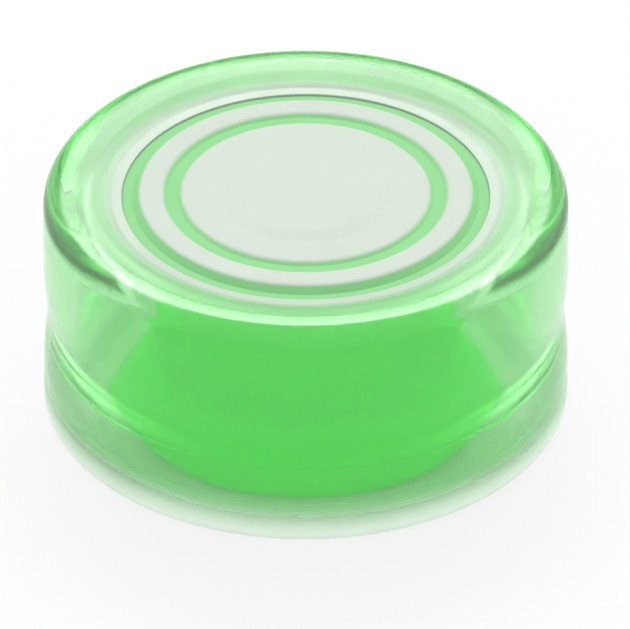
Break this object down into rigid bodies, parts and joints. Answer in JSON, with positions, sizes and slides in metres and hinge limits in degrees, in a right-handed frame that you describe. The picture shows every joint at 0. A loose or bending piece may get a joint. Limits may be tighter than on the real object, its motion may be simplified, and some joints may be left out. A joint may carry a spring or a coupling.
{
  "type": "vibration dampener",
  "caption": "Round soft button that sits between the main strings of a racket, with clear skirts, a waisted green core and a ringed face.",
  "frame": {"origin": "middle of the flat back face, on the axis of the button", "axes": "+Z along the axis, from the flat back face to the ringed front face; +Y along the racket's main strings, +X across them"},
  "size_m": [0.02, 0.02, 0.0096],
  "materials": {
    "clear_skin": "satin, translucent",
    "pale_inlay": "satin, milky",
    "green_core": "matte"
  },
  "bodies": {
    "back": {"back_flange": "clear_skin"},
    "front": {"front_flange": "clear_skin", "damping_core": "green_core", "face_ring": "pale_inlay", "centre_disc": "pale_inlay"}
  },
  "joints": [
    {"name": "string_gap", "type": "slide", "parent": "back", "child": "front", "axis": [0, 0, 1], "range_m": [0, 0.0013], "stiffness_N_per_m": 500}
  ]
}
